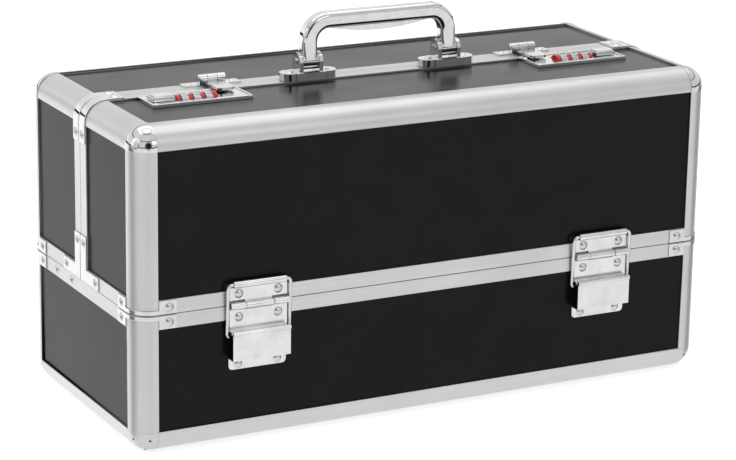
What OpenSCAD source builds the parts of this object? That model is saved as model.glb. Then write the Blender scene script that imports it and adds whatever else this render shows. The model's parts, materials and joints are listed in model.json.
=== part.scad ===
// Sewing box with trays: a two-lid carrying case with an aluminium frame,
// stop hinges, combination locks, a swing handle and two cantilever trays.
// Millimetres. +X along the case, +Z up, front face at -Y.
// Origin: centre of the underside.

/* [Case] */
// outside length
case_l = 460; // [420:5:520]
// outside depth
case_w = 195; // [190:1:210]
// height of the closed case without the handle
case_h = 232; // [228:1:240]
// height of the parting plane between base and lids
seam_z = 101; // [100:1:104]
// thickness of the laminated boards
panel_t = 5; // [4:0.5:5]

/* [Frame profiles] */
// visible leg of the rounded edge profile
edge_w = 16.5; // [16:0.5:18]
// outer radius of the edge profile
edge_r = 15.5; // [14:0.5:15.5]
// solid core of the edge profile, where the boards stop
edge_core = 10; // [9.5:0.5:10]
// thickness of the profile lips over the boards
lip_t = 1.5; // [1.2:0.1:1.6]
// visible width of the closing profiles, measured from the parting plane
rim_w = 10.5; // [10:0.5:11]
// gap between two closed edges
seam_gap = 0.4; // [0.3:0.1:0.6]
// gap between the two lids
split_gap = 0.6; // [0.4:0.1:1]
// thickness of the polished corner sheet
sheet_t = 0.9; // [0.6:0.1:1]

/* [Stop hinges] */
// distance of the stop hinges from the middle
hinge_x = 139; // [120:1:150]
// width of a hinge leaf
leaf_w = 44; // [40:1:46]
// distance of the hinge pin outside the rim face
pin_off = 3; // [3:0.1:3.4]
// height of the wire roll above the hinge pin
roll_up = 15.5; // [15.3:0.1:15.7]
// length of the wire bail between its two bars
bail_l = 38; // [37.8:0.1:38.2]
// radius of the bail wire
wire_r = 1.3; // [1.1:0.1:1.4]

/* [Handle] */
// distance of the handle legs from the middle
handle_x = 56.5; // [50:0.5:64]
// height of the handle pin above the strip
handle_pin_up = 13; // [12.8:0.1:14]
// height of the top of the grip above the strip
handle_up = 48; // [44:1:56]
// width of the handle section
grip_w = 12; // [11:0.5:12]

/* [Locks] */
// distance of the lock plates from the middle
lock_x = 154; // [150:1:160]
// distance of the hasps from the middle
hasp_x = 128; // [126:1:130]
// radius of a number dial
dial_r = 6.5; // [6:0.1:6.8]
// distance between neighbouring dials
dial_pitch = 9.1; // [9.1:0.1:9.2]
// flutes round a dial
dial_flutes = 10; // [8:1:12]

/* [Trays] */
// outside length of a tray
tray_l = 430; // [380:5:430]
// front edge of the closed trays
tray_y0 = -44; // [-46:1:-40]
// rear edge of the closed trays
tray_y1 = 52; // [50:1:54]
// height of a tray
tray_h = 43.5; // [36:0.5:44]
// thickness of the tray walls
tray_t = 2; // [1.5:0.5:2.5]
// lean of the closed tray arms
arm_lean = 40; // [38:1:42]
// arm length from the base pivot to the lower tray
arm_r1 = 25; // [24:1:26]
// arm length from the base pivot to the upper tray
arm_r2 = 85; // [84:1:88]
// cross walls in the upper tray
upper_cells = 4; // [2:1:8]
// cross walls in the lower tray
lower_cells = 2; // [2:1:6]

/* [Hidden] */
$fn = 64;
eps = 0.01;
hx = case_l / 2;
hy = case_w / 2;
in_x = hx - edge_core;           // where the boards stop along X
in_y = hy - edge_core;
bar_x = hx - edge_w;             // where the straight profiles stop
bar_y = hy - edge_w;
rim_d = lip_t + panel_t + lip_t; // depth of a closing profile
rim_cap = 4;                     // closed end of a closing profile
rim_lip = 8;                     // height of its inner lip
sheet_in = 0.4;                  // margin between a corner sheet and the rim's edges
lip_band = 3;                    // height of the sheet where it wraps the corner
base_top = seam_z - seam_gap / 2;
lid_bot = seam_z + seam_gap / 2;
split = split_gap / 2;
top_face = case_h - lip_t;       // outer face of the top board
side_cut = rim_w - seam_gap / 2; // height of a horizontal rim
split_cut = rim_w - split;       // width of a strip beside the split
wrap_leg = 30;                   // reach of a corner sheet along each face
wrap_rivet = 24;
ell_up = 34;
ell_out = 32;

rivet_r = 3.4;
rivet_h = 1.4;
small_r = 2.2;
small_h = 0.9;

leaf_t = 1.4;
pin_y = -hy - pin_off;
pin_r = 1.5;
knuckle_r = 2.6;
mid_half = 10.5;                 // half width of the middle knuckle
knuckle_gap = 0.4;
run_fit = 0.05;
roll_half = 20;
bail_half = 23.8;
bail_bend = 3;
bar_in = 1.95;                   // how far the lower bar sits inside the pin line
bail_tilt = asin(bar_in / bail_l);
leaf_rivet_x = 15;
leaf_rivet_z = 8.4;
flap_out = 7.8;                   // outer face of the catch flap, from the rim face
flap_top = seam_z - 18;
flap_low = seam_z - 38.6;
foot_low = seam_z - 47;
ridge_r = 1.8;

handle_y = -6;                   // the handle stands a little in front of the split
handle_z = case_h + handle_pin_up;
grip_z = case_h + handle_up - grip_w / 2;
grip_bend = 15;
grip_round = 3.6;
grip_belly = 4.5;
belly_half = 40;
belly_r = (belly_half * belly_half + grip_belly * grip_belly) / (2 * grip_belly);
ear_r = 6.5;
ear_gap = 0.3;
ear_t = 3;
hpin_r = 2.5;
pad_t = 5.4;
over_gap = 0.4;                  // clearance over the front lid
pad_half = 12;                   // half length of the straight middle
pad_r = 8;
pad_end = 14.5;                  // distance of the rivet bosses from the leg
pad_end_r = 7.5;

lock_half = 38;
lock_y0 = -41;
lock_y1 = -11;
lock_t = 2;
lock_yc = (lock_y0 + lock_y1) / 2;
lock_top = top_face + lock_t;
edge_up = 0.7;
edge_in = 1.6;
dial_z = case_h - 3;
dial_t = 5.2;
ring_t = 3.3;
flute_r = 0.9;
axle_r = 1;
well_x = 15.6;
well_y = 7.4;
tab_x = 17.5;
cut_x = 17.8;
cut_y = 8;
slot_x = 25.8;                    // middle of the release slider
slide_half = 8.2;
slide_w = 6;
stem_half = 2.5;
slot_half = 5;

hasp_y = 4;
hasp_r = 3;
hasp_pin_r = 1.2;
hasp_plate = 1.2;
hasp_flap_t = 1.8;
hasp_z = case_h + 5.1;
hasp_mid = 3.7;
hasp_out = 10;
hasp_reach = -23;
hasp_half = 7;

arm_y = [20, 48];                // base pivots of the front and rear arms
arm_z = seam_z - 5;
arm_t = 2;
arm_half = 5;
arm_x = 217.6;
arm_pin_r = 2;
arm_fit = 0.1;
head_r = 3.4;
head_t = 1;
brace_t = 2;
tray_z1 = seam_z + 2.5;          // underside of the closed lower tray
tray_step = (arm_r2 - arm_r1) * cos(arm_lean);
tray_z2 = tray_z1 + tray_step;

black = [0.09, 0.09, 0.1];
satin = [0.78, 0.79, 0.8];
bright = [0.88, 0.89, 0.9];
zinc = [0.7, 0.71, 0.72];
cream = [0.85, 0.83, 0.78];
red = [0.72, 0.06, 0.07];
grey = [0.3, 0.31, 0.33];

// ---- helpers ----

module both_x() {
    children();
    mirror([1, 0, 0]) children();
}

module both_y() {
    children();
    mirror([0, 1, 0]) children();
}

module to_rear() {
    mirror([0, 1, 0]) children();
}

// section (u, v) swept along X with u towards +Y and v towards +Z
module along_x(l) {
    rotate([90, 0, 90]) linear_extrude(l, center = true) children();
}

// section (u, v) swept along Y from y0 to y1 with u towards +X and v towards +Z
module along_y(y0, y1) {
    translate([0, y1, 0]) rotate([90, 0, 0]) linear_extrude(y1 - y0) children();
}

// cylinder about X
module rod_x(r, x0, x1) {
    translate([x0, 0, 0]) rotate([0, 90, 0]) cylinder(r = r, h = x1 - x0);
}

module block(x0, x1, y0, y1, z0, z1) {
    translate([x0, y0, z0]) cube([x1 - x0, y1 - y0, z1 - z0]);
}

// quarter of a rounded outline, corner at the origin, size s
module round_corner(r, s) {
    intersection() {
        square(s);
        union() {
            translate([r, r]) circle(r);
            translate([r, 0]) square(s);
            translate([0, r]) square(s);
        }
    }
}

// rounded profile that joins two boards at a right angle
module edge_section() {
    difference() {
        round_corner(edge_r, edge_w);
        translate([edge_core, lip_t]) square(edge_w);
        translate([lip_t, edge_core]) square(edge_w);
    }
}

// closing profile: u inwards from the outer face, v away from the parting plane
module rim_section(w) {
    difference() {
        square([rim_d, w]);
        translate([lip_t, rim_cap]) square([panel_t, w]);
        translate([lip_t, rim_lip]) square([rim_d, w]);
    }
}

// sheet wrapped round a rounded edge
module wrap_section() {
    difference() {
        translate([-sheet_t, -sheet_t]) round_corner(edge_r + sheet_t, wrap_leg + sheet_t);
        round_corner(edge_r, 2 * wrap_leg);
    }
}

// sheet round a corner post: a low lip at the parting plane and two riveted tabs
module corner_sheet() {
    translate([0, 0, sheet_in]) {
        linear_extrude(lip_band) wrap_section();
        linear_extrude(side_cut - 2 * sheet_in) difference() {
            wrap_section();
            translate([-edge_w, -edge_w]) square(2 * edge_w + 0.3);
        }
    }
}

// rounded three-way corner, corner at the origin, grown outwards by g
module corner_cap(g) {
    r = edge_r + g;
    w = edge_w + g;
    difference() {
        translate([-g, -g, -g]) intersection() {
            cube(w);
            union() {
                translate([r, r, r]) sphere(r);
                translate([r, r, r]) cylinder(r = r, h = w);
                translate([r, r, r]) rotate([0, 90, 0]) cylinder(r = r, h = w);
                translate([r, r, r]) rotate([-90, 0, 0]) cylinder(r = r, h = w);
                translate([r, r, 0]) cube(w);
                translate([0, r, r]) cube(w);
                translate([r, 0, r]) cube(w);
            }
        }
        translate([lip_t, edge_core, edge_core]) cube(w);
        translate([edge_core, lip_t, edge_core]) cube(w);
        translate([edge_core, edge_core, lip_t]) cube(w);
    }
}

// domed rivet head standing on z = 0
module rivet(r = rivet_r, h = rivet_h) {
    ball = (r * r + h * h) / (2 * h);
    intersection() {
        translate([0, 0, h - ball]) sphere(ball);
        translate([-2 * r, -2 * r, 0]) cube([4 * r, 4 * r, 2 * h]);
    }
}

module rivet_front(x, y, z) {
    translate([x, y, z]) rotate([90, 0, 0]) rivet();
}

module rivet_side(x, y, z) {
    translate([x, y, z]) rotate([0, -90, 0]) rivet();
}

// ---- base ----

module base_floor() {
    color(black) block(-in_x, in_x, -in_y, in_y, lip_t, lip_t + panel_t);
}

module base_walls() {
    z1 = base_top - rim_cap;
    color(black) {
        both_y() block(-in_x, in_x, -hy + lip_t, -hy + lip_t + panel_t, edge_core, z1);
        both_x() block(-hx + lip_t, -hx + lip_t + panel_t, -in_y, in_y, edge_core, z1);
    }
}

module base_frame() {
    color(satin) {
        both_y() translate([0, -hy, 0]) along_x(2 * bar_x) edge_section();
        both_x() translate([-hx, 0, 0]) along_y(-bar_y, bar_y) edge_section();
        both_x() both_y() translate([-hx, -hy, edge_w])
            linear_extrude(base_top - edge_w) edge_section();
    }
}

module base_corner_caps() {
    color(satin) both_x() both_y() translate([-hx, -hy, 0]) corner_cap(0);
}

module base_rim() {
    color(satin) {
        both_y() translate([0, -hy, base_top]) mirror([0, 0, 1])
            along_x(2 * bar_x) rim_section(side_cut);
        both_x() translate([-hx, 0, base_top]) mirror([0, 0, 1])
            along_y(-bar_y, bar_y) rim_section(side_cut);
    }
}

module base_corner_sheets() {
    color(bright) both_x() both_y() translate([-hx, -hy, base_top])
        mirror([0, 0, 1]) corner_sheet();
}

module base_rivets() {
    z = base_top - side_cut / 2;
    color(cream) both_x() {
        both_y() {
            rivet_front(-hx + wrap_rivet, -hy - sheet_t, z);
            rivet_side(-hx - sheet_t, -hy + wrap_rivet, z);
        }
        for (y = arm_y) rivet_side(-hx, y, z);
    }
    color(cream) both_x() both_y() for (s = [-1, 1]) {
        rivet_front(-hinge_x + s * leaf_rivet_x, -hy - leaf_t, seam_z - leaf_rivet_z);
        rivet_front(-hinge_x + s * leaf_rivet_x, -hy + lip_t - leaf_t, foot_low + 4);
    }
}

module lower_leaf() {
    face = -hy - leaf_t;
    out = -hy - flap_out;
    back = -hy + lip_t;
    hw = leaf_w / 2;
    foot_r = 3;
    difference() {
        union() {
            block(-hw, hw, face, -hy, flap_top, base_top);
            block(-hw, hw, face, back, flap_top, seam_z - rim_w - knuckle_gap);
            translate([0, pin_y, seam_z]) rod_x(knuckle_r, -hw, hw);
            // catch for the lower bar of the bail
            block(-hw, hw, out, back, flap_top - leaf_t, flap_top);
            block(-hw, hw, out, out + leaf_t, flap_low, flap_top);
            block(-hw, hw, out, back, flap_low, flap_low + leaf_t);
            translate([0, out + ridge_r / 2, flap_top - ridge_r / 2]) rod_x(ridge_r, -hw, hw);
            block(-hw, hw, back - leaf_t, back, foot_low + foot_r, flap_low + eps);
            block(-hw + foot_r, hw - foot_r, back - leaf_t, back, foot_low, foot_low + foot_r + eps);
            for (s = [-1, 1]) translate([s * (hw - foot_r), back, foot_low + foot_r])
                rotate([90, 0, 0]) cylinder(r = foot_r, h = leaf_t);
        }
        // room for the middle knuckle of the upper leaf
        block(-mid_half - knuckle_gap, mid_half + knuckle_gap, out - ridge_r, -hy + eps,
              seam_z - knuckle_r - 1, seam_z + knuckle_r + 1);
        translate([0, pin_y, seam_z]) rod_x(pin_r + run_fit, -hw - eps, hw + eps);
    }
}

module front_lower_leaves() {
    color(zinc) both_x() translate([-hinge_x, 0, 0]) lower_leaf();
}

module rear_lower_leaves() {
    color(zinc) to_rear() both_x() translate([-hinge_x, 0, 0]) lower_leaf();
}

// inner plates on the base ends with the fixed pins of the tray arms
module tray_brackets() {
    x1 = hx - rim_d;
    color(zinc) both_x() {
        block(x1 - brace_t, x1, arm_y[0] - 10, arm_y[1] + 10, seam_z - 15, base_top - 0.3);
        for (y = arm_y) translate([0, y, arm_z]) {
            rod_x(arm_pin_r, arm_x - knuckle_gap - head_t, x1 - brace_t + eps);
            rod_x(head_r, arm_x - knuckle_gap - head_t, arm_x - knuckle_gap);
        }
    }
}

// ---- lids, drawn as the front one and mirrored for the rear ----

module lid_top_board() {
    block(-in_x, in_x, -in_y, -split - rim_cap, top_face - panel_t, top_face);
}

module lid_walls() {
    z0 = lid_bot + rim_cap;
    z1 = case_h - edge_core;
    block(-in_x, in_x, -hy + lip_t, -hy + lip_t + panel_t, z0, z1);
    both_x() block(-hx + lip_t, -hx + lip_t + panel_t, -in_y, -split - rim_cap, z0, z1);
}

module lid_frame() {
    translate([0, -hy, case_h]) mirror([0, 0, 1]) along_x(2 * bar_x) edge_section();
    both_x() {
        translate([-hx, 0, case_h]) mirror([0, 0, 1]) along_y(-bar_y, -split) edge_section();
        translate([-hx, -hy, lid_bot]) linear_extrude(case_h - edge_w - lid_bot) edge_section();
    }
}

module lid_caps() {
    both_x() translate([-hx, -hy, case_h]) mirror([0, 0, 1]) corner_cap(0.6);
}

module lid_rim() {
    translate([0, -hy, lid_bot]) along_x(2 * bar_x) rim_section(side_cut);
    both_x() translate([-hx, 0, lid_bot]) along_y(-bar_y, -split) rim_section(side_cut);
    // upright strips beside the split
    both_x() translate([-hx, -split, lid_bot + side_cut])
        mirror([0, 1, 0]) linear_extrude(case_h - edge_w - lid_bot - side_cut)
            rim_section(split_cut);
    // strip along the top
    translate([0, -split, case_h]) rotate([0, 90, 0])
        mirror([0, 1, 0]) linear_extrude(2 * bar_x, center = true) rim_section(split_cut);
}

module lid_corner_sheets() {
    both_x() translate([-hx, -hy, lid_bot]) corner_sheet();
}

module lid_split_sheets() {
    y0 = -rim_w + 0.2;
    y1 = -split - 0.2;
    both_x() {
        translate([-hx, 0, case_h]) mirror([0, 0, 1]) along_y(y0, y1) wrap_section();
        block(-hx - sheet_t, -hx, y0, y1, lid_bot + sheet_in, seam_z + ell_up);
        block(-hx - sheet_t, -hx, -ell_out, y1, lid_bot + sheet_in, seam_z + rim_w - sheet_in);
    }
}

module lid_rivets() {
    z = lid_bot + side_cut / 2;
    y = -split - split_cut / 2;
    both_x() {
        rivet_front(-hx + wrap_rivet, -hy - sheet_t, z);
        rivet_side(-hx - sheet_t, -hy + wrap_rivet, z);
        rivet_side(-hx - sheet_t, y, seam_z + ell_up - 5.5);
        rivet_side(-hx - sheet_t, -ell_out + 5.5, z);
        rivet_side(-hx - sheet_t, y, case_h - wrap_rivet);
        translate([-hx + wrap_rivet, y, case_h + sheet_t]) rivet();
        for (s = [-1, 1])
            rivet_front(-hinge_x + s * leaf_rivet_x, -hy - leaf_t, seam_z + leaf_rivet_z);
    }
}

module upper_leaf() {
    face = -hy - leaf_t;
    out = -hy - flap_out;
    hw = leaf_w / 2;
    roll_z = seam_z + roll_up;
    difference() {
        union() {
            block(-hw, hw, face, -hy, lid_bot + 0.2, roll_z - knuckle_r);
            block(-roll_half, roll_half, face, -hy, lid_bot + 0.2, roll_z);
            translate([0, pin_y, seam_z]) rod_x(knuckle_r, -mid_half, mid_half);
            translate([0, pin_y, roll_z]) rod_x(knuckle_r, -roll_half, roll_half);
        }
        // room for the outer knuckles of the lower leaf
        for (s = [0, 1]) mirror([s, 0, 0])
            block(mid_half, hw + 1, out, -hy + eps, seam_z - 1, seam_z + knuckle_r + 1);
        translate([0, pin_y, seam_z]) rod_x(pin_r, -hw - eps, hw + eps);
        translate([0, pin_y, roll_z]) rod_x(wire_r + run_fit, -roll_half - eps, roll_half + eps);
    }
}

module hinge_pins() {
    both_x() translate([-hinge_x, pin_y, seam_z]) rod_x(pin_r, -leaf_w / 2, leaf_w / 2);
}

// wire loop that slides behind the catch and stops the lid
module bail() {
    a = bail_half - bail_bend;
    b = bail_l - bail_bend;
    translate([0, pin_y, seam_z + roll_up]) rotate([bail_tilt, 0, 0]) {
        for (z = [0, -bail_l]) translate([0, 0, z]) rod_x(wire_r, -a, a);
        for (s = [-1, 1]) translate([s * bail_half, 0, -b]) cylinder(r = wire_r, h = b - bail_bend);
        for (s = [0, 1]) mirror([s, 0, 0]) {
            translate([a, 0, -bail_bend]) rotate([90, 0, 0])
                rotate_extrude(angle = 90) translate([bail_bend, 0]) circle(wire_r);
            translate([a, 0, -b]) rotate([90, 0, 0]) rotate([0, 0, -90])
                rotate_extrude(angle = 90) translate([bail_bend, 0]) circle(wire_r);
        }
    }
}

// ---- front lid ----

module front_lid_top() {
    color(black) difference() {
        lid_top_board();
        both_x() block(lock_x - cut_x, lock_x + cut_x, lock_yc - cut_y, lock_yc + cut_y,
                       top_face - panel_t - 1, top_face + 1);
    }
}

module front_lid_walls() { color(black) lid_walls(); }
module front_lid_frame() { color(satin) lid_frame(); }
module front_lid_caps() { color(bright) lid_caps(); }
module front_lid_rim() { color(satin) lid_rim(); }
module front_lid_corner_sheets() { color(bright) lid_corner_sheets(); }
module front_lid_split_sheets() { color(bright) lid_split_sheets(); }

module front_lid_rivets() {
    color(cream) {
        lid_rivets();
        both_x() for (i = [-33.8, 33.8], j = [-10.8, 10.8])
            translate([lock_x + i, lock_yc + j, lock_top]) rivet(small_r, small_h);
    }
}

module front_upper_leaves() {
    color(zinc) both_x() translate([-hinge_x, 0, 0]) upper_leaf();
}

module front_hinge_pins() { color(bright) hinge_pins(); }

// plate with a turned-up edge, the dial window and the release slot
module lock_plates() {
    x0 = lock_x - lock_half;
    x1 = lock_x + lock_half;
    color(bright) both_x() difference() {
        block(x0, x1, lock_y0, lock_y1, top_face, lock_top + edge_up);
        block(x0 + edge_in, x1 - edge_in, lock_y0 + edge_in, lock_y1 - edge_in, lock_top, lock_top + 5);
        block(lock_x - well_x, lock_x + well_x, lock_yc - well_y, lock_yc + well_y,
              top_face - 1, lock_top + 5);
        block(lock_x + slot_x - slot_half, lock_x + slot_x + slot_half,
              lock_yc - stem_half - 0.4, lock_yc + stem_half + 0.4, top_face - 1, lock_top + 5);
    }
}

// box under the top board with end cheeks and the dial axle
module lock_housings() {
    z1 = top_face - panel_t;
    z0 = dial_z - dial_r - 2;
    color(grey) both_x() translate([lock_x, lock_yc, 0]) {
        difference() {
            block(-tab_x - 2, tab_x + 2, -cut_y - 2, cut_y + 2, z0, z1);
            block(-cut_x + 2, cut_x - 2, -cut_y, cut_y, z0 + 1.2, z1 + 1);
        }
        for (s = [-1, 1]) block(min(s * tab_x, s * (tab_x - 1.7)), max(s * tab_x, s * (tab_x - 1.7)),
                                -3, 3, z0 + 1, top_face - 0.1);
        translate([0, 0, dial_z]) rod_x(axle_r, -tab_x + eps, tab_x - eps);
    }
}

// red rings beside the dials, the innermost a little larger as the reset button
module lock_spacers() {
    color(red) both_x() for (k = [-1.5, -0.5, 0.5, 1.5])
        translate([lock_x + k * dial_pitch, lock_yc, dial_z]) difference() {
            rod_x(dial_r - (k < -1 ? 0.1 : 0.8), -ring_t / 2, ring_t / 2);
            rod_x(axle_r, -ring_t, ring_t);
        }
}

// ---- rear lid ----

module rear_lid_top() { color(black) to_rear() lid_top_board(); }
module rear_lid_walls() { color(black) to_rear() lid_walls(); }
module rear_lid_frame() { color(satin) to_rear() lid_frame(); }
module rear_lid_caps() { color(bright) to_rear() lid_caps(); }
module rear_lid_rim() { color(satin) to_rear() lid_rim(); }
module rear_lid_corner_sheets() { color(bright) to_rear() lid_corner_sheets(); }
module rear_lid_split_sheets() { color(bright) to_rear() lid_split_sheets(); }

module rear_lid_rivets() {
    color(cream) {
        to_rear() lid_rivets();
        both_x() for (i = [-17, 17]) {
            translate([hasp_x + i, 5.6, case_h + hasp_plate]) rivet(2.6, 1.2);
        }
        both_x() for (s = [-1, 1])
            translate([handle_x + s * pad_end, handle_y, case_h + over_gap + pad_t]) rivet(3.2, 1.3);
    }
}

module rear_upper_leaves() {
    color(zinc) to_rear() both_x() translate([-hinge_x, 0, 0]) upper_leaf();
}

module rear_hinge_pins() { color(bright) to_rear() hinge_pins(); }

// riveted plate, outer knuckles and pin of a hasp
module hasp_bases() {
    color(bright) both_x() translate([hasp_x, 0, 0]) {
        block(-22, 22, split + 0.4, rim_w - 0.2, case_h, case_h + hasp_plate);
        for (s = [0, 1]) mirror([s, 0, 0]) {
            block(hasp_mid + 0.3, hasp_out, hasp_y - hasp_r + 0.2, hasp_y + hasp_r - 0.2,
                  case_h, hasp_z);
            translate([0, hasp_y, hasp_z]) rod_x(hasp_r, hasp_mid + 0.3, hasp_out);
        }
        translate([0, hasp_y, hasp_z]) rod_x(hasp_pin_r, -hasp_out - 0.5, hasp_out + 0.5);
    }
}

// stadium pad and two ears that carry a handle leg
module handle_bracket() {
    z0 = case_h + over_gap;
    foot = split + 0.2 - handle_y;
    ear = grip_w / 2 + ear_gap;
    difference() {
        union() {
            block(-pad_half, pad_half, -pad_r, pad_r, z0, z0 + pad_t);
            for (s = [-1, 1]) translate([s * pad_end, 0, z0]) cylinder(r = pad_end_r, h = pad_t);
            block(-pad_half, pad_half, foot, pad_r, case_h, z0 + 1);
            for (s = [0, 1]) mirror([s, 0, 0]) {
                block(ear, ear + ear_t, -ear_r, ear_r, z0 + 1, handle_z);
                translate([0, 0, handle_z]) rod_x(ear_r, ear, ear + ear_t);
            }
        }
        translate([0, 0, handle_z]) rod_x(hpin_r, -20, 20);
    }
}

module handle_brackets() {
    color(bright) both_x() translate([handle_x, handle_y, 0]) handle_bracket();
}

module handle_pins() {
    w = grip_w / 2 + ear_gap + ear_t + 1;
    color(bright) both_x() translate([handle_x, handle_y, handle_z]) rod_x(hpin_r, -w, w);
}

// ---- moving hardware ----

module front_bails() {
    color(bright) both_x() translate([-hinge_x, 0, 0]) bail();
}

module rear_bails() {
    color(bright) to_rear() both_x() translate([-hinge_x, 0, 0]) bail();
}

// rounded square section of the handle
module grip_section() {
    c = grip_w / 2 - grip_round;
    square([grip_w, 2 * c], center = true);
    square([2 * c, grip_w], center = true);
    for (i = [-c, c], j = [-c, c]) translate([i, j]) circle(grip_round);
}

module handle() {
    h = grip_w / 2;
    color(bright) translate([0, handle_y, 0]) difference() {
        union() {
            both_x() {
                translate([handle_x, 0, handle_z]) {
                    rod_x(grip_w / 2 + 0.3, -grip_w / 2, grip_w / 2);
                    linear_extrude(grip_z - grip_bend - handle_z) grip_section();
                }
                translate([handle_x - grip_bend, 0, grip_z - grip_bend]) rotate([90, 0, 0])
                    rotate_extrude(angle = 90) translate([grip_bend, 0]) grip_section();
            }
            translate([0, 0, grip_z]) rotate([0, 90, 0])
                linear_extrude(2 * (handle_x - grip_bend), center = true) grip_section();
            // belly under the grip, a round segment in the plane of the handle
            translate([0, 0, grip_z]) rotate([90, 0, 0])
                linear_extrude(grip_w - 2 * grip_round, center = true) intersection() {
                    translate([0, belly_r - h - grip_belly]) circle(belly_r);
                    translate([-handle_x, -h - grip_belly - 1]) square([2 * handle_x, grip_belly + 2]);
                }
        }
        translate([0, 0, handle_z]) rod_x(hpin_r + run_fit, -handle_x - 20, handle_x + 20);
    }
}

module hasp() {
    z0 = hasp_z - hasp_r - 0.3;
    difference() {
        union() {
            translate([0, hasp_y, hasp_z]) rod_x(hasp_r, -hasp_mid, hasp_mid);
            block(-hasp_mid, hasp_mid, -1, hasp_y, z0, z0 + hasp_flap_t);
            block(-hasp_half, hasp_half, hasp_reach + 4, 0.4, z0, z0 + hasp_flap_t);
            block(-hasp_half + 4, hasp_half - 4, hasp_reach, 0.4, z0, z0 + hasp_flap_t);
            for (s = [-1, 1]) translate([s * (hasp_half - 4), hasp_reach + 4, z0])
                cylinder(r = 4, h = hasp_flap_t);
        }
        translate([0, hasp_y, hasp_z]) rod_x(hasp_pin_r + run_fit, -hasp_out, hasp_out);
    }
}

module left_hasp() { color(bright) translate([-hasp_x, 0, 0]) hasp(); }
module right_hasp() { color(bright) translate([hasp_x, 0, 0]) hasp(); }

// sliding release button beside the dials
module release(x) {
    translate([x, lock_yc, lock_top + 0.3]) {
        block(-slide_half, slide_half, -slide_w, slide_w, 0, 2.4);
        block(-slide_half + 1.2, slide_half - 1.2, -slide_w + 1.2, slide_w - 1.2, 2.4 - eps, 3.6);
        block(-stem_half, stem_half, -stem_half, stem_half, -1.6, eps);
    }
}

module left_release() { color(bright) release(-lock_x - slot_x); }
module right_release() { color(bright) release(lock_x + slot_x); }

module dial(x) {
    translate([x, lock_yc, dial_z]) difference() {
        rod_x(dial_r, -dial_t / 2, dial_t / 2);
        rod_x(axle_r + run_fit, -dial_t, dial_t);
        for (i = [0:dial_flutes - 1]) rotate([i * 360 / dial_flutes, 0, 0])
            translate([0, 0, dial_r + 0.3]) rod_x(flute_r, -dial_t, dial_t);
    }
}

module left_dial_1() { color(bright) dial(-lock_x - dial_pitch); }
module left_dial_2() { color(bright) dial(-lock_x); }
module left_dial_3() { color(bright) dial(-lock_x + dial_pitch); }
module right_dial_1() { color(bright) dial(lock_x - dial_pitch); }
module right_dial_2() { color(bright) dial(lock_x); }
module right_dial_3() { color(bright) dial(lock_x + dial_pitch); }

// ---- trays ----

module tray(z) {
    color(grey) difference() {
        block(-tray_l / 2, tray_l / 2, tray_y0, tray_y1, z, z + tray_h);
        block(-tray_l / 2 + tray_t, tray_l / 2 - tray_t, tray_y0 + tray_t, tray_y1 - tray_t,
              z + tray_t, z + tray_h + 1);
    }
}

module dividers(z, n) {
    step = (tray_l - 2 * tray_t) / (n + 1);
    color(grey) for (i = [1:n])
        translate([-tray_l / 2 + tray_t + i * step, 0, 0])
            block(-tray_t / 2, tray_t / 2, tray_y0 + tray_t, tray_y1 - tray_t,
                  z + tray_t, z + tray_h - 4);
}

// fixed studs on the tray ends, at distance r along the arms
module tray_studs(r) {
    color(bright) both_x() for (y = arm_y)
        translate([0, y - r * sin(arm_lean), arm_z + r * cos(arm_lean)]) {
            rod_x(head_r, tray_l / 2, arm_x - knuckle_gap);
            rod_x(arm_pin_r, tray_l / 2, arm_x + arm_t + 0.3 + head_t);
            rod_x(head_r, arm_x + arm_t + 0.3, arm_x + arm_t + 0.3 + head_t);
        }
}

module lower_tray() { tray(tray_z1); }
module lower_tray_dividers() { dividers(tray_z1, lower_cells); }
module lower_tray_pins() { tray_studs(arm_r1); }
module upper_tray() { tray(tray_z2); }
module upper_tray_dividers() { dividers(tray_z2, upper_cells); }
module upper_tray_pins() { tray_studs(arm_r2); }

module arm(y) {
    color(zinc) both_x() translate([arm_x, y, arm_z]) rotate([arm_lean, 0, 0])
        rotate([90, 0, 90]) linear_extrude(arm_t) difference() {
            union() {
                circle(arm_half);
                translate([0, arm_r2]) circle(arm_half);
                translate([-arm_half, 0]) square([2 * arm_half, arm_r2]);
            }
            for (r = [0, arm_r1, arm_r2]) translate([0, r]) circle(arm_pin_r + arm_fit);
        }
}

module front_arms() { arm(arm_y[0]); }
module rear_arms() { arm(arm_y[1]); }

base_floor();
base_walls();
base_frame();
base_corner_caps();
base_rim();
base_corner_sheets();
base_rivets();
front_lower_leaves();
rear_lower_leaves();
tray_brackets();
front_lid_top();
front_lid_walls();
front_lid_frame();
front_lid_caps();
front_lid_rim();
front_lid_corner_sheets();
front_lid_split_sheets();
front_lid_rivets();
front_upper_leaves();
front_hinge_pins();
lock_plates();
lock_housings();
lock_spacers();
rear_lid_top();
rear_lid_walls();
rear_lid_frame();
rear_lid_caps();
rear_lid_rim();
rear_lid_corner_sheets();
rear_lid_split_sheets();
rear_lid_rivets();
rear_upper_leaves();
rear_hinge_pins();
hasp_bases();
handle_brackets();
handle_pins();
front_bails();
rear_bails();
handle();
left_hasp();
right_hasp();
left_release();
right_release();
left_dial_1();
left_dial_2();
left_dial_3();
right_dial_1();
right_dial_2();
right_dial_3();
lower_tray();
lower_tray_dividers();
lower_tray_pins();
upper_tray();
upper_tray_dividers();
upper_tray_pins();
front_arms();
rear_arms();
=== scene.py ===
"""Looks of the sewing box: materials, rounded edges, studio and camera. Metres."""

import json
import math

import bmesh
import bpy
from mathutils import Matrix, Vector

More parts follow.
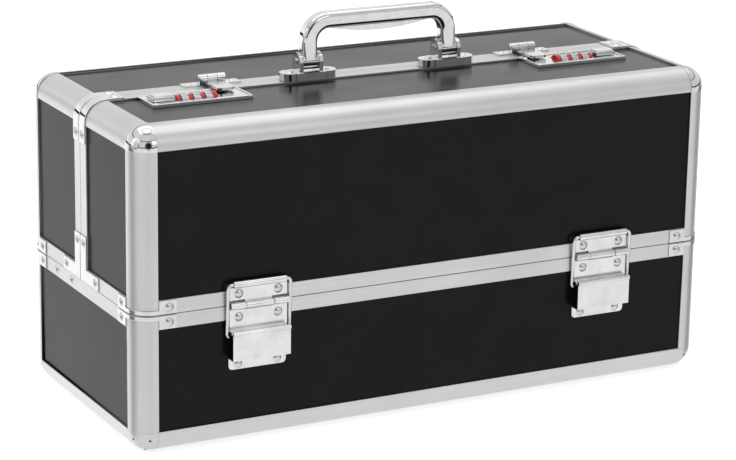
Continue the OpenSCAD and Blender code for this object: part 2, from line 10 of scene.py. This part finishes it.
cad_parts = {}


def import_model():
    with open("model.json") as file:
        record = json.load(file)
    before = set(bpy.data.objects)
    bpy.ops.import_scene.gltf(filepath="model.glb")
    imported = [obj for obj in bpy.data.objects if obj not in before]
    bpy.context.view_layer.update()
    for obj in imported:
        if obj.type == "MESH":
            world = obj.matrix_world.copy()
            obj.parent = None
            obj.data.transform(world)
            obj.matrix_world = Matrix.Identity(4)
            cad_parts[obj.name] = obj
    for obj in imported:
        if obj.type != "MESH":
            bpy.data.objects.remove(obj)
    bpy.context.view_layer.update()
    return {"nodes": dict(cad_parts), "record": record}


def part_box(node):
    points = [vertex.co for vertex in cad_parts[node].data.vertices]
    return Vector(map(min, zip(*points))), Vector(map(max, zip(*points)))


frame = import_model()
nodes = frame["nodes"]

# ---- sizes read from the frame ----

HALF_X, HALF_Y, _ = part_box("base_frame")[1]
CASE_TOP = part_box("front_lid_rim")[1].z
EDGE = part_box("base_corner_caps")[1].z  # width of the rounded profiles
RIM_LO, RIM_HI = (b.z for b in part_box("base_rim"))
RIM = RIM_HI - RIM_LO
POST_X, POST_Y = HALF_X - EDGE, HALF_Y - EDGE  # a corner post lies beyond both
STRIP_Y = 1.03 * RIM  # the upright strips at the split lie within this
MIDDLE = Vector((0, 0, CASE_TOP / 2))
BEYOND = 10.0  # farther out than any piece


# ---- node helpers ----

def add(tree, kind, inputs=None, **props):
    """Adds a shader node; an input is a value or another node's output socket."""
    made = tree.nodes.new(kind)
    for key, value in props.items():
        setattr(made, key, value)
    for key, value in (inputs or {}).items():
        if isinstance(value, bpy.types.NodeSocket):
            tree.links.new(value, made.inputs[key])
        else:
            made.inputs[key].default_value = value
    return made


def calc(tree, operation, a, b=0.0):
    return add(tree, "ShaderNodeMath", {0: a, 1: b}, operation=operation).outputs[0]


def place(tree):
    """Position in the case's own frame, which turns with the part."""
    return add(tree, "ShaderNodeTexCoord").outputs["Object"]


def noise(tree, vector, scale, detail=2.0, rough=0.5):
    made = add(tree, "ShaderNodeTexNoise", {"Vector": vector, "Scale": scale, "Detail": detail,
                                            "Roughness": rough})
    return made.outputs["Fac"]


def stretch(tree, vector, scales):
    made = add(tree, "ShaderNodeVectorMath", {0: vector, 1: scales}, operation="MULTIPLY")
    return made.outputs[0]


def spread(tree, fac, low, high):
    """Maps a noise's useful range, about 0.3 to 0.7, onto low to high."""
    made = add(tree, "ShaderNodeMapRange", {"Value": fac, "From Min": 0.3, "From Max": 0.7,
                                            "To Min": low, "To Max": high})
    return made.outputs["Result"]


def mix_value(tree, fac, a, b):
    return add(tree, "ShaderNodeMix", {0: fac, 2: a, 3: b}, data_type="FLOAT").outputs[0]


def mix_color(tree, fac, a, b):
    """Mixes two colours; each is red, green and blue, or an output socket."""
    a, b = (c if isinstance(c, bpy.types.NodeSocket) else (*c, 1) for c in (a, b))
    return add(tree, "ShaderNodeMix", {0: fac, 6: a, 7: b}, data_type="RGBA").outputs[2]


def mottle(tree, fac, a, b, share=1):
    """Colour a with patches of colour b where the noise is high."""
    return mix_color(tree, spread(tree, fac, 0, share), a, b)


def bump(tree, height, depth):
    made = add(tree, "ShaderNodeBump", {"Height": height, "Distance": depth, "Strength": 1.0})
    return made.outputs["Normal"]


def start(name, **sockets):
    """A new material, its node tree and its shader with constant sockets set."""
    made = bpy.data.materials.new(name)
    made.use_nodes = True
    tree = made.node_tree
    shader = tree.nodes["Principled BSDF"]
    for key, value in sockets.items():
        shader.inputs[key.replace("_", " ")].default_value = value
    return made, tree, shader


def wire(tree, shader, **sockets):
    for key, value in sockets.items():
        tree.links.new(value, shader.inputs[key.replace("_", " ")])


# ---- materials ----

def facing_out(tree):
    """1 on faces that look away from the middle of the case, 0 on faces that look into it."""
    coords = add(tree, "ShaderNodeTexCoord")
    away = add(tree, "ShaderNodeVectorMath", {0: coords.outputs["Object"], 1: MIDDLE},
               operation="SUBTRACT").outputs[0]
    dot = add(tree, "ShaderNodeVectorMath", {0: away, 1: coords.outputs["Normal"]},
              operation="DOT_PRODUCT").outputs["Value"]
    return calc(tree, "GREATER_THAN", dot, 0.0)


def black_laminate():
    """Semi-gloss laminate outside, short velour lining inside."""
    made, tree, shader = start("black_laminate", IOR=1.20)
    at = place(tree)
    out = facing_out(tree)
    skin = mottle(tree, noise(tree, at, scale=38, detail=5, rough=0.6),
                  (0.0042, 0.0038, 0.0036), (0.0068, 0.0061, 0.0058))
    smear = noise(tree, stretch(tree, at, (0.6, 1, 1)), scale=22, detail=4, rough=0.6)
    grain = calc(tree, "MULTIPLY", noise(tree, at, scale=520), 0.12)
    pile = noise(tree, at, scale=1900, detail=3, rough=0.7)
    nap = noise(tree, stretch(tree, at, (1, 1, 1.6)), scale=14, detail=3, rough=0.55)
    lining = mottle(tree, pile, (0.012, 0.012, 0.013), (0.045, 0.045, 0.047))
    lining = mottle(tree, nap, lining, (0.02, 0.02, 0.021), share=0.5)
    lining_rough = 0.95
    wire(tree, shader,
         Base_Color=mix_color(tree, out, lining, skin),
         Roughness=mix_value(tree, out, lining_rough, spread(tree, smear, 0.17, 0.25)),
         Normal=bump(tree, mix_value(tree, out, pile, grain), depth=0.00022))
    return made


def lies(tree, value, low, high):
    """1 where the absolute value lies between low and high."""
    size = calc(tree, "ABSOLUTE", value)
    return calc(tree, "MULTIPLY", calc(tree, "GREATER_THAN", size, low),
                calc(tree, "LESS_THAN", size, high))


def draw_lines(tree, at):
    """Fine lines left by the extruder, along whichever profile the point is on."""
    x, y, z = add(tree, "ShaderNodeSeparateXYZ", {0: at}).outputs
    across, along = 2600, 9
    on_x, on_y, on_z = (noise(tree, stretch(tree, at, scales), scale=1)
                        for scales in ((along, across, across), (across, along, across),
                                       (across, across, along)))
    at_end = lies(tree, x, POST_X, BEYOND)
    post = calc(tree, "MULTIPLY", at_end, lies(tree, y, POST_Y, BEYOND))
    strip = calc(tree, "MULTIPLY", lies(tree, y, -1, STRIP_Y),
                 lies(tree, z, RIM_HI + RIM, CASE_TOP - EDGE))
    strip = calc(tree, "MULTIPLY", strip, at_end)
    level = mix_value(tree, at_end, on_x, on_y)
    return mix_value(tree, calc(tree, "MAXIMUM", post, strip), level, on_z)


def satin_aluminium():
    made, tree, shader = start("satin_aluminium", Metallic=1.0)
    at = place(tree)
    lines = draw_lines(tree, at)
    tone = mottle(tree, noise(tree, at, scale=16, detail=3, rough=0.6),
                  (0.56, 0.565, 0.57), (0.62, 0.62, 0.615))
    wire(tree, shader,
         Base_Color=mottle(tree, lines, tone, (0.50, 0.505, 0.515), share=0.35),
         Roughness=spread(tree, lines, 0.36, 0.44),
         Normal=bump(tree, lines, depth=0.00004))
    return made


def polished(name, color, rough):
    """Plated metal with faint wipe marks."""
    made, tree, shader = start(name, Metallic=1.0)
    at = place(tree)
    wipe = noise(tree, stretch(tree, at, (70, 260, 120)), scale=1, detail=4, rough=0.6)
    dark = tuple(0.86 * c for c in color)
    wire(tree, shader,
         Base_Color=mottle(tree, noise(tree, at, scale=90, detail=3, rough=0.6), color, dark),
         Roughness=spread(tree, wipe, *rough),
         Normal=bump(tree, noise(tree, at, scale=700), depth=0.00001))
    return made


def zinc_steel():
    """Plated sheet with rolling marks along x."""
    made, tree, shader = start("zinc_steel", Metallic=1.0)
    at = place(tree)
    rolled = noise(tree, stretch(tree, at, (18, 1500, 1500)), scale=1, detail=3, rough=0.6)
    wire(tree, shader,
         Base_Color=mottle(tree, noise(tree, at, scale=60, detail=4, rough=0.65),
                           (0.58, 0.59, 0.60), (0.72, 0.72, 0.72)),
         Roughness=spread(tree, rolled, 0.09, 0.17),
         Normal=bump(tree, rolled, depth=0.00002))
    return made


def nickel_rivet():
    made, tree, shader = start("nickel_rivet", Metallic=1.0)
    at = place(tree)
    spot = noise(tree, at, scale=420, detail=3, rough=0.6)
    wire(tree, shader,
         Base_Color=mottle(tree, spot, (0.54, 0.51, 0.47), (0.68, 0.66, 0.61)),
         Roughness=spread(tree, spot, 0.20, 0.32),
         Normal=bump(tree, noise(tree, at, scale=900), depth=0.00003))
    return made


def plastic(name, dark, light, rough, grain_scale, grain_depth):
    """Moulded plastic with a pebbled surface."""
    made, tree, shader = start(name, IOR=1.46)
    at = place(tree)
    cells = add(tree, "ShaderNodeTexVoronoi", {"Vector": at, "Scale": grain_scale})
    wire(tree, shader,
         Base_Color=mottle(tree, noise(tree, at, scale=30, detail=4, rough=0.6), dark, light),
         Roughness=spread(tree, noise(tree, at, scale=120), *rough),
         Normal=bump(tree, cells.outputs["Distance"], grain_depth))
    return made


MATERIALS = {
    "black_laminate": black_laminate(),
    "satin_aluminium": satin_aluminium(),
    "polished_chrome": polished("polished_chrome", (0.63, 0.64, 0.65), rough=(0.04, 0.10)),
    "zinc_steel": zinc_steel(),
    "nickel_rivet": nickel_rivet(),
    "red_plastic": plastic("red_plastic", (0.42, 0.008, 0.012), (0.56, 0.014, 0.018),
                           rough=(0.2, 0.3), grain_scale=900, grain_depth=0.00003),
    "housing_plastic": plastic("housing_plastic", (0.012, 0.012, 0.013), (0.03, 0.03, 0.031),
                               rough=(0.5, 0.65), grain_scale=1500, grain_depth=0.00012),
    "tray_plastic": plastic("tray_plastic", (0.022, 0.022, 0.024), (0.040, 0.040, 0.043),
                            rough=(0.42, 0.58), grain_scale=950, grain_depth=0.0002),
    "dial_metal": polished("dial_metal", (0.50, 0.51, 0.52), rough=(0.14, 0.26)),
}


# ---- the CAD nodes: materials, rounded edges, shading ----

# width of the rounding; boards and rivet heads need none
BEVELS = {"satin_aluminium": 0.00022, "polished_chrome": 0.00028, "zinc_steel": 0.0003,
          "red_plastic": 0.0002, "housing_plastic": 0.0003, "tray_plastic": 0.0007,
          "dial_metal": 0.00012}
BEVEL_STEPS = 2
SHARP_ANGLE = math.radians(38)
SAME_POINT = 0.00001
FACE_AREA_WEIGHT = 60


def soften(obj, width):
    """Welds the imported faces, then rounds the sharp edges so that they catch the light."""
    for face in obj.data.polygons:
        face.use_smooth = True
    weld = obj.modifiers.new("weld", "WELD")
    weld.merge_threshold = SAME_POINT
    bevel = obj.modifiers.new("bevel", "BEVEL")
    bevel.width = width
    bevel.segments = BEVEL_STEPS
    bevel.limit_method = "ANGLE"
    bevel.angle_limit = SHARP_ANGLE
    bevel.use_clamp_overlap = True
    level = obj.modifiers.new("normals", "WEIGHTED_NORMAL")
    level.keep_sharp = True
    level.weight = FACE_AREA_WEIGHT


for sub in frame["record"]["subparts"]:
    part = nodes[sub["node"]]
    slot = sub["material_slot"]
    part.data.materials.clear()
    part.data.materials.append(MATERIALS[slot])
    if slot in BEVELS:
        soften(part, BEVELS[slot])


# ---- studio ----

FLOOR_HALF = 30
FLOOR_DROP = 0.0004  # just under the case

# the tent's cloths: in front low and high, behind, and a glow low behind on the left, which the
# left end mirrors
FRONT_LOW, FRONT_HIGH = (1.15, 1.15, 1.16), (0.92, 0.92, 0.92)
BACK = (1.12, 1.10, 1.09)
GLOW, GLOW_TOWARD, GLOW_EDGE = (1.5, 1.5, 1.5), (-0.45, 0.85, -0.28), (0.75, 0.95)

# heights of the dark gaps between the cloths, which only the polished metal shows
GAPS = ((0.0, 0.11), (0.53, 0.60), (0.93, 0.97))
GAP_SOFT = 0.02
GAP_COLOR = (0.02, 0.02, 0.02)

# dark cards: direction and tone. The first two edge the upright wires and legs,
# the others mark the caps.
CARDS = (((-0.90, 0.29, -0.27), 0.30), ((0.96, -0.04, -0.27), 0.30),
         ((-0.95, -0.15, 0.22), 0.02), ((-0.25, -0.90, 0.22), 0.02))
CARD_EDGE = (0.93, 0.985)

# name, place, target, size in x and y, watts
LIGHTS = (("overhead", (0.1, 0.3, 2.2), (0, 0, 0.1), (2.6, 1.8), 12),
          ("left_soft", (-2.4, -0.2, 1.0), (0, 0, 0.12), (1.6, 1.6), 7),
          ("front_fill", (0.6, -2.6, 1.5), (0, 0, 0.1), (1.2, 0.8), 4))

EYE = Vector((-0.9338, -1.7624, 0.6910))
AZIMUTH, ELEVATION, ROLL = (math.radians(a) for a in (-27.862, 16.245, 0.935))
LENS = 137.0


def area_light(name, where, target, size, watts):
    data = bpy.data.lights.new(name, "AREA")
    data.shape = "RECTANGLE"
    data.size, data.size_y = size
    data.energy = watts
    lamp = bpy.data.objects.new(name, data)
    lamp.location = where
    lamp.rotation_euler = (Vector(target) - Vector(where)).to_track_quat("-Z", "Y").to_euler()
    bpy.context.scene.collection.objects.link(lamp)


def floor():
    """Large pale floor just under the case."""
    mesh = bpy.data.meshes.new("floor")
    shape = bmesh.new()
    bmesh.ops.create_grid(shape, x_segments=1, y_segments=1, size=FLOOR_HALF)
    shape.to_mesh(mesh)
    shape.free()
    made = bpy.data.objects.new("floor", mesh)
    made.location.z = -FLOOR_DROP
    bpy.context.scene.collection.objects.link(made)
    pale, tree, shader = start("studio_floor", Roughness=0.9, IOR=1.2,
                               Emission_Color=(1, 1, 1, 1), Emission_Strength=0.45)
    wire(tree, shader, Base_Color=mottle(tree, noise(tree, place(tree), scale=1.5),
                                         (0.93, 0.93, 0.93), (0.95, 0.95, 0.95)))
    mesh.materials.append(pale)
    made.visible_glossy = False


def world():
    """White studio tent; dark gaps between its cloths give the chrome its contrast."""
    made = bpy.data.worlds.new("tent")
    bpy.context.scene.world = made
    made.use_nodes = True
    tree = made.node_tree
    backdrop = tree.nodes["Background"]
    toward = add(tree, "ShaderNodeTexCoord").outputs["Generated"]
    _, back, up = add(tree, "ShaderNodeSeparateXYZ", {0: toward}).outputs

    def ramp(value, low, high):
        return add(tree, "ShaderNodeMapRange", {"Value": value, "From Min": low, "From Max": high},
                   interpolation_type="SMOOTHSTEP").outputs["Result"]

    def facing(direction, low, high):
        aim = add(tree, "ShaderNodeVectorMath", {0: toward, 1: Vector(direction).normalized()},
                  operation="DOT_PRODUCT")
        return ramp(aim.outputs["Value"], low, high)

    front = mix_color(tree, ramp(up, -0.1, 0.3), FRONT_LOW, FRONT_HIGH)
    tent = mix_color(tree, ramp(back, -0.35, 0.3), front, BACK)
    tent = mix_color(tree, facing(GLOW_TOWARD, *GLOW_EDGE), tent, GLOW)
    for low, high in GAPS:
        below_top = calc(tree, "SUBTRACT", 1.0, ramp(up, high - GAP_SOFT, high))
        gap = calc(tree, "MULTIPLY", ramp(up, low, low + GAP_SOFT), below_top)
        tent = mix_color(tree, gap, tent, GAP_COLOR)
    for card, tone in CARDS:
        tent = mix_color(tree, facing(card, *CARD_EDGE), tent, (tone, tone, tone))
    tree.links.new(tent, backdrop.inputs["Color"])
    backdrop.inputs["Strength"].default_value = 1.0


def camera():
    """Long lens, from the front left and looking down a little."""
    back = Vector((math.sin(AZIMUTH) * math.cos(ELEVATION),
                   -math.cos(AZIMUTH) * math.cos(ELEVATION), math.sin(ELEVATION)))
    right = (-back).cross(Vector((0, 0, 1))).normalized()
    up = right.cross(-back)
    right, up = (math.cos(ROLL) * right + math.sin(ROLL) * up,
                 -math.sin(ROLL) * right + math.cos(ROLL) * up)
    data = bpy.data.cameras.new("camera")
    data.sensor_width = 36
    data.lens = LENS
    data.clip_end = 100
    made = bpy.data.objects.new("camera", data)
    turn = Matrix((right, up, back)).transposed().to_4x4()
    made.matrix_world = Matrix.Translation(EYE) @ turn
    bpy.context.scene.collection.objects.link(made)
    bpy.context.scene.camera = made


floor()
world()
camera()
for light in LIGHTS:
    area_light(*light)
bpy.context.scene.view_settings.view_transform = "Standard"
bpy.context.scene.view_settings.look = "None"
